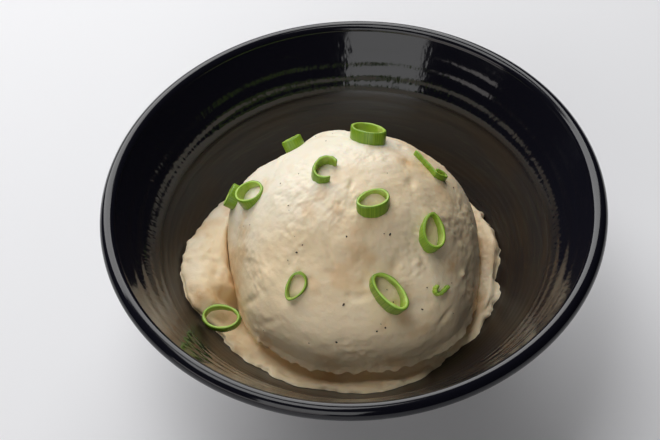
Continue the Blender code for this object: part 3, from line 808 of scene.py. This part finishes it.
# ---------------------------------------------------------------- spring onion
def outline(piece, count=120):
    """Centre line of a ring in its own plane: an ellipse drawn out to a tip, with a straight tail."""
    closed = abs(piece.sweep) >= 360
    angles = np.radians(piece.start + piece.sweep * np.arange(count) / (count if closed else count - 1))
    wobble = 1.0 + 0.03 * np.sin(2 * angles + piece.turn) + 0.02 * np.sin(3 * angles + piece.long)
    along = piece.long * MM * np.cos(angles) * wobble
    across = piece.short * MM * np.sin(angles) * (1.0 - piece.tip * np.cos(angles)) * wobble
    points = np.stack([along, across], axis=-1)
    if piece.tail:
        heading = points[0] - points[1]
        heading /= np.linalg.norm(heading)
        steps = np.linspace(1.0, 0.02, 60)[:, None]
        bend = np.array([-heading[1], heading[0]]) * 0.06 * piece.tail * MM
        tail = points[0] + heading * piece.tail * MM * steps + bend * steps**2
        points = np.vstack([tail, points])
    return points, closed


def axes_of(piece):
    """Unit vectors of a piece: its long side, its short side and its tube's axis."""
    axis = direction(*piece.axis)
    level = np.cross([0.0, 0.0, 1.0], axis)
    level /= np.linalg.norm(level)
    raised = np.cross(axis, level)
    turn = math.radians(piece.turn)
    long_side = level * math.cos(turn) + raised * math.sin(turn)
    return long_side, np.cross(axis, long_side), axis


def sunk_to_scoop(points, axis):
    """Each point slid along the axis until it lies just under the scoop's surface."""
    for _ in range(10):
        offset = points - SCOOP_CENTRE
        distance = np.linalg.norm(offset, axis=-1, keepdims=True)
        rays = offset / distance
        lean = np.maximum(rays @ axis, 0.5)
        short_by = distance[:, 0] - scoop_reach(rays) + 0.15 * MM
        points = points - axis * (short_by / lean)[:, None]
    return points


def ring_rows(piece):
    """Foot and top of the wall at each place round a ring, with the outward side of each place."""
    long_side, short_side, axis = axes_of(piece)
    flat, closed = outline(piece)
    if len(piece.place) == 3:
        azimuth, radius, height = piece.place
        centre = direction(azimuth, 0.0) * radius * MM + np.array([0.0, 0.0, height * MM])
    else:
        ray = direction(*piece.place)
        centre = SCOOP_CENTRE + ray * (scoop_reach(ray) + GAP)
    base = centre + flat[:, :1] * long_side + flat[:, 1:] * short_side
    foot = base if len(piece.place) == 3 else sunk_to_scoop(base, axis)
    if piece.tail:
        top = foot + axis * piece.height * MM
    else:
        top = base + axis * piece.height * MM
        top = np.where(((top - foot) @ axis < 0.6 * MM)[:, None], foot + axis * 0.6 * MM, top)
    if closed:
        heading = np.roll(flat, -1, axis=0) - np.roll(flat, 1, axis=0)
    else:
        heading = np.gradient(flat, axis=0)
    heading /= np.linalg.norm(heading, axis=-1, keepdims=True)
    side = heading[:, 1:] * long_side - heading[:, :1] * short_side
    if len(piece.place) == 2:
        moved = slump(foot)
        foot, top = foot + moved, top + moved
    top[:, 2] = np.minimum(top[:, 2], OBJECT_TOP - EDGE_ROOM)
    return foot, top, side, closed


def strip_grid(foot, top, side, wall, closed):
    """A rounded oblong section carried along a strip: up its inner face, over the cut edge and
    down its outer face. Also gives how far out each point lies and how near the cut edge."""
    corners = np.radians(np.array([180, 180, 180, 150, 120, 90, 60, 30, 0, 0, 0, -30, -60, -90, -120, -150]))
    rise = np.array([0.1, 0.5, 0.9, 1, 1, 1, 1, 1, 0.9, 0.5, 0.1, 0, 0, 0, 0, 0])
    count = len(foot)
    step = np.arange(count)
    thick = wall * MM * (1.0 + 0.12 * np.sin(step * 0.21) + 0.08 * np.sin(step * 0.47 + 1.0))
    if not closed:
        from_end = np.minimum(step, step[::-1])
        thick = thick * np.sqrt(np.clip((from_end + 0.6) / 4.0, 0.1, 1.0))
    across = np.cos(corners)[None, :, None] * 0.5 * thick[:, None, None]
    round_up = np.sin(corners)[None, :, None] * 0.28 * thick[:, None, None]
    span = top - foot
    axis = span / np.linalg.norm(span, axis=-1, keepdims=True)
    grid = foot[:, None] + rise[None, :, None] * span[:, None]
    grid = grid + side[:, None] * across + axis[:, None] * round_up
    skin = np.broadcast_to(np.cos(corners)[None], grid.shape[:2])
    rim = np.broadcast_to(np.clip(np.sin(corners), 0.0, 1.0)[None], grid.shape[:2])
    vein = np.broadcast_to(np.arange(count)[:, None] * 1.0, grid.shape[:2])
    return grid, {"skin": skin, "rim": rim, "vein": vein}


def onion_material(colours):
    """Spring onion: dark green outside with fine veins, paler inside, and a light cut edge."""
    recipe = Recipe("Spring onion")
    skin, rim, vein = (recipe.attribute(key) for key in ("skin", "rim", "vein"))
    place = recipe.place()
    broad = recipe.grain(place, 260.0, 2.0, 0.5)
    stripe = recipe.grain(recipe.vector(vein, 0.0, 0.0), 0.9, 1.0, 0.5)
    outer = recipe.blend(stripe.step(0.3, 0.7), colours.onion_outer, colours.onion_light)
    inner = recipe.blend(broad.step(0.35, 0.65), colours.onion_inner, colours.onion_light)
    colour = recipe.blend(skin.step(-0.2, 0.3), inner, outer)
    cut = recipe.blend(skin.step(0.1, 0.75), colours.onion_cut, colours.onion_outer)
    colour = recipe.blend(rim.step(0.3, 0.7), colour, cut)
    return recipe.finish(
        Base_Color=colour,
        Roughness=0.30 + broad * 0.15,
        Normal=recipe.bump(stripe, 0.05 * MM),
        Subsurface_Weight=0.3,
        Subsurface_Radius=(0.5, 1.0, 0.2),
        Subsurface_Scale=0.8 * MM,
    )


# ---------------------------------------------------------------- pepper
# The larger flecks: a direction from the scoop's centre and a length in millimetres.
Fleck = namedtuple("Fleck", "azimuth elevation length")
FLECKS = [
    Fleck(262, 33, 0.95), Fleck(228, 49, 0.8), Fleck(229, 53, 0.5), Fleck(300, 59, 0.8), Fleck(300, 23, 0.85),
    Fleck(281, 21, 0.8), Fleck(277, 20, 0.6), Fleck(259, 15, 0.65), Fleck(247, 12, 0.5), Fleck(12, 37, 0.6),
    Fleck(160, 65, 0.5), Fleck(195, 60, 0.5), Fleck(262, 62, 0.6), Fleck(306, 31, 0.5), Fleck(320, 24, 0.5),
]
BALL_ROWS = 5
BALL_COLUMNS = 7


def ball():
    """Corners and faces of a small ball: rings between two poles, each quad split in two."""
    tilt = np.linspace(-90, 90, BALL_ROWS + 2)[1:-1, None]
    rings = direction(np.linspace(0, 360, BALL_COLUMNS, endpoint=False), tilt).reshape(-1, 3)
    corners = np.vstack([rings, [0, 0, -1.0], [0, 0, 1.0]])
    index = np.arange(BALL_ROWS * BALL_COLUMNS).reshape(BALL_ROWS, BALL_COLUMNS)
    beside = np.roll(index, -1, axis=1)
    low, high = len(corners) - 2, len(corners) - 1
    a, b, c, d = (part.reshape(-1) for part in (index[:-1], beside[:-1], beside[1:], index[1:]))
    faces = np.vstack([
        np.stack([a, b, c], axis=-1),
        np.stack([a, c, d], axis=-1),
        np.stack([np.full(BALL_COLUMNS, low), beside[0], index[0]], axis=-1),
        np.stack([np.full(BALL_COLUMNS, high), index[-1], beside[-1]], axis=-1),
    ])
    return corners, faces


def flakes_on_scoop(rays, lengths, flatness, sink, seed):
    """Irregular flakes lying on the scoop: a ball stretched along the surface, flattened across it
    and made uneven by noise, one for each ray."""
    generator = np.random.default_rng(seed)
    corners, faces = ball()
    count = len(rays)
    heading = np.cross(rays, generator.normal(size=(count, 3)))
    heading /= np.linalg.norm(heading, axis=-1, keepdims=True)
    beside = np.cross(rays, heading)
    uneven = 1.0 + 0.35 * noise(corners[None] * 1.3 + 9.0 * np.arange(count)[:, None, None], 1.0, seed)
    width = generator.uniform(0.45, 0.85, count)
    height = generator.uniform(*flatness, count)
    stretch = np.stack([np.ones(count), width, height], axis=-1)
    local = corners[None] * uneven[..., None] * stretch[:, None] * 0.5 * lengths[:, None, None] * MM
    centre = SCOOP_CENTRE + rays * (scoop_reach(rays) + sink * lengths * MM)[:, None]
    centre = centre + slump(centre)
    axes = np.stack([heading, beside, rays], axis=1)
    return centre[:, None] + np.einsum("nki,nij->nkj", local, axes), faces


def pepper_mesh(amount):
    """The larger flecks where they lie, and small ones scattered thinly over the scoop."""
    generator = np.random.default_rng(7)
    large = np.array([direction(fleck.azimuth, fleck.elevation) for fleck in FLECKS])
    azimuth = generator.uniform(0, 360, amount)
    elevation = np.degrees(np.arcsin(generator.uniform(0.05, 0.98, amount)))
    scattered = direction(azimuth, elevation)
    rays = np.vstack([large, scattered])
    lengths = np.concatenate([[fleck.length for fleck in FLECKS], generator.uniform(0.22, 0.5, amount)])
    corners, faces = flakes_on_scoop(rays, lengths, (0.3, 0.6), 0.08, 61)
    return joined_mesh("ground_pepper", corners, faces)


def pepper_material(colours):
    """Ground pepper: near-black husk with brown grains."""
    recipe = Recipe("Ground pepper")
    grain = recipe.grain(recipe.place(), 1500.0, 2.0, 0.6)
    colour = recipe.blend(grain.step(0.4, 0.7), colours.pepper, colours.pepper_brown)
    return recipe.finish(Base_Color=colour, Roughness=0.6, Normal=recipe.bump(grain, 0.08 * MM))


# ---------------------------------------------------------------- stage
CAMERA_LENS = 85.0
CAMERA_ELEVATION = 51.48
CAMERA_ROLL = 3.26
CAMERA_DISTANCE = 443.5 * MM
CAMERA_ASIDE = -6.37 * MM
CAMERA_RAISED = -6.78 * MM


def floor_material(colours):
    recipe = Recipe("Pale floor")
    cloud = recipe.grain(recipe.place(), 3.0, 2.0, 0.5)
    colour = recipe.blend(cloud, colours.floor, tuple(0.97 * part for part in colours.floor))
    return recipe.finish(Base_Color=colour, Roughness=0.5, Specular_IOR_Level=0.3)


def make_floor(material):
    mesh = bpy.data.meshes.new("floor")
    half = 1.5
    corners = [(-half, -half, 0), (half, -half, 0), (half, half, 0), (-half, half, 0)]
    mesh.from_pydata(corners, [], [(0, 1, 2, 3)])
    mesh.materials.append(material)
    floor = bpy.data.objects.new("floor", mesh)
    bpy.context.scene.collection.objects.link(floor)


def make_light(name, azimuth, elevation, distance, size, power, colour=(1.0, 1.0, 1.0)):
    """A square area light in a direction from the bowl's rim, facing it."""
    light = bpy.data.lights.new(name, "AREA")
    light.shape = "RECTANGLE"
    light.size, light.size_y = size
    light.energy = power
    light.color = colour
    lamp = bpy.data.objects.new(name, light)
    ray = Vector(direction(azimuth, elevation))
    lamp.location = ray * distance + Vector((0.0, 0.0, BOWL_HEIGHT))
    lamp.rotation_euler = ray.to_track_quat("Z", "Y").to_euler()
    bpy.context.scene.collection.objects.link(lamp)


def make_camera():
    """A long lens that looks along +Y and down, with a small roll."""
    elevation, roll = math.radians(CAMERA_ELEVATION), math.radians(CAMERA_ROLL)
    forward = Vector((0.0, math.cos(elevation), -math.sin(elevation)))
    level = Vector((1.0, 0.0, 0.0))
    raised = level.cross(forward)
    right = level * math.cos(roll) - raised * math.sin(roll)
    up = level * math.sin(roll) + raised * math.cos(roll)
    camera = bpy.data.objects.new("camera", bpy.data.cameras.new("camera"))
    camera.data.lens = CAMERA_LENS
    camera.data.clip_start = 10.0 * MM
    beside = right * CAMERA_ASIDE + up * CAMERA_RAISED
    place = Vector((0.0, 0.0, BOWL_HEIGHT)) + beside - forward * CAMERA_DISTANCE
    turn = Matrix((right, up, -forward)).transposed()
    camera.matrix_world = Matrix.Translation(place) @ turn.to_4x4()
    bpy.context.scene.collection.objects.link(camera)
    bpy.context.scene.camera = camera


# ---------------------------------------------------------------- settings
def colour_setting(name, description, default):
    return bpy.props.FloatVectorProperty(
        name=name, description=description, default=default, subtype="COLOR", size=3, min=0.0, max=1.0
    )


class PotatoSideColours(bpy.types.PropertyGroup):
    """Colours of the glaze, the food and the floor."""

    glaze: colour_setting("Glaze", "Glaze of the bowl's top band and outside", (0.006, 0.006, 0.010))
    # The brown and olive glaze colours are a painted reflection of the potato in the lower wall.
    glaze_potato_reflection: colour_setting("Brown glaze", "Glaze where it thins lower down", (0.020, 0.012, 0.007))
    glaze_olive_reflection: colour_setting("Olive glaze", "Fine lines of the lower glaze", (0.030, 0.031, 0.018))
    potato: colour_setting("Potato", "Mashed potato", (0.86, 0.69, 0.45))
    # Paler cream painted on the side facing the key light: a painted highlight, partly random tone.
    potato_pale_lit: colour_setting("Pale potato", "Paler, drier potato", (0.90, 0.82, 0.66))
    potato_tan: colour_setting("Tan potato", "Toasted and torn patches", (0.70, 0.44, 0.20))
    onion_outer: colour_setting("Onion skin", "Outside of the spring onion", (0.13, 0.27, 0.010))
    onion_light: colour_setting("Onion veins", "Lighter veins of the spring onion", (0.30, 0.46, 0.03))
    onion_inner: colour_setting("Onion inside", "Inside of the spring onion", (0.50, 0.62, 0.14))
    onion_cut: colour_setting("Onion cut", "Cut edge of the spring onion", (0.38, 0.56, 0.07))
    pepper: colour_setting("Pepper", "Husk of the ground pepper", (0.010, 0.008, 0.007))
    pepper_brown: colour_setting("Brown pepper", "Brown grains of the ground pepper", (0.10, 0.06, 0.03))
    floor: colour_setting("Floor", "Floor under the bowl", (0.86, 0.86, 0.88))


class PotatoSideSizes(bpy.types.PropertyGroup):
    """Sizes and amounts that change the pieces."""

    ridge_depth: bpy.props.FloatProperty(
        name="Ridge depth",
        description="Depth of the turning ridges in the wall",
        default=0.06 * MM,
        unit="LENGTH",
    )
    pepper_count: bpy.props.IntProperty(
        name="Small flecks",
        description="Number of small pepper flecks",
        default=34,
    )


# ---------------------------------------------------------------- operators
class POTATO_OT_bowl(bpy.types.Operator):
    """Build the glazed bowl"""

    bl_idname = "potato_side.bowl"
    bl_label = "Bowl"

    def execute(self, context):
        mesh = bowl_mesh(context.scene.potato_sizes.ridge_depth)
        place_piece("bowl_glazed", mesh, glaze_material(context.scene.potato_colours), "black_glaze", "bowl")
        return {"FINISHED"}


class POTATO_OT_potato(bpy.types.Operator):
    """Build the scoop of potato and the potato spread under it"""

    bl_idname = "potato_side.potato"
    bl_label = "Potato"

    def execute(self, context):
        material = potato_material(context.scene.potato_colours)
        place_piece("spread_potato", bed_mesh(), material, "potato", "mash_bed")
        place_piece("scoop_of_potato", scoop_mesh(), material, "potato", "mash_scoop")
        return {"FINISHED"}


class POTATO_OT_onions(bpy.types.Operator):
    """Build the cut rings and curls of spring onion"""

    bl_idname = "potato_side.onions"
    bl_label = "Spring onion"

    def execute(self, context):
        material = onion_material(context.scene.potato_colours)
        for node, piece in ONIONS.items():
            foot, top, side, closed = ring_rows(piece)
            grid, marks = strip_grid(foot, top, side, piece.wall, closed)
            mesh = closed_mesh(f"{node}_cut", grid, ring=closed, **marks)
            place_piece(f"{node}_cut", mesh, material, "spring_onion", node)
        return {"FINISHED"}


class POTATO_OT_pepper(bpy.types.Operator):
    """Scatter the ground pepper"""

    bl_idname = "potato_side.pepper"
    bl_label = "Pepper"

    def execute(self, context):
        mesh = pepper_mesh(context.scene.potato_sizes.pepper_count)
        place_piece("ground_pepper", mesh, pepper_material(context.scene.potato_colours), "potato")
        return {"FINISHED"}


class POTATO_OT_stage(bpy.types.Operator):
    """Set the floor, the lights and the camera"""

    bl_idname = "potato_side.stage"
    bl_label = "Stage"

    def execute(self, context):
        make_floor(floor_material(context.scene.potato_colours))
        make_light("key", 106, 34, 1.0, (1.2, 0.8), 11.4)
        make_light("top", 150, 76, 1.0, (0.5, 0.5), 2.6)
        make_light("fill", 250, 32, 1.0, (0.6, 0.6), 2.2)
        make_light("window", 228, 9, 1.0, (1.1, 0.22), 1.2, (1.0, 0.94, 0.92))
        make_camera()
        world = bpy.data.worlds.new("studio")
        world.use_nodes = True
        world.node_tree.nodes["Background"].inputs["Color"].default_value = (0.95, 0.97, 1.0, 1.0)
        world.node_tree.nodes["Background"].inputs["Strength"].default_value = 0.03
        world.cycles_visibility.glossy = False
        context.scene.world = world
        context.scene.view_settings.view_transform = "Standard"
        return {"FINISHED"}


class POTATO_PT_side(bpy.types.Panel):
    """Buttons and settings of the mashed potato side"""

    bl_label = "Mashed Potato Side"
    bl_idname = "POTATO_PT_side"
    bl_space_type = "VIEW_3D"
    bl_region_type = "UI"
    bl_category = "Potato Side"

    def draw(self, context):
        for operator in OPERATORS:
            self.layout.operator(operator.bl_idname)
        for group in (context.scene.potato_sizes, context.scene.potato_colours):
            for key in group.__annotations__:
                self.layout.prop(group, key)


OPERATORS = (POTATO_OT_bowl, POTATO_OT_potato, POTATO_OT_onions, POTATO_OT_pepper, POTATO_OT_stage)
CLASSES = (PotatoSideColours, PotatoSideSizes, *OPERATORS, POTATO_PT_side)


def register():
    for item in CLASSES:
        bpy.utils.register_class(item)
    bpy.types.Scene.potato_colours = bpy.props.PointerProperty(type=PotatoSideColours)
    bpy.types.Scene.potato_sizes = bpy.props.PointerProperty(type=PotatoSideSizes)


def unregister():
    del bpy.types.Scene.potato_sizes
    del bpy.types.Scene.potato_colours
    for item in reversed(CLASSES):
        bpy.utils.unregister_class(item)


def main():
    register()
    bpy.ops.potato_side.bowl()
    bpy.ops.potato_side.potato()
    bpy.ops.potato_side.onions()
    bpy.ops.potato_side.pepper()
    bpy.ops.potato_side.stage()


if __name__ == "__main__":
    main()
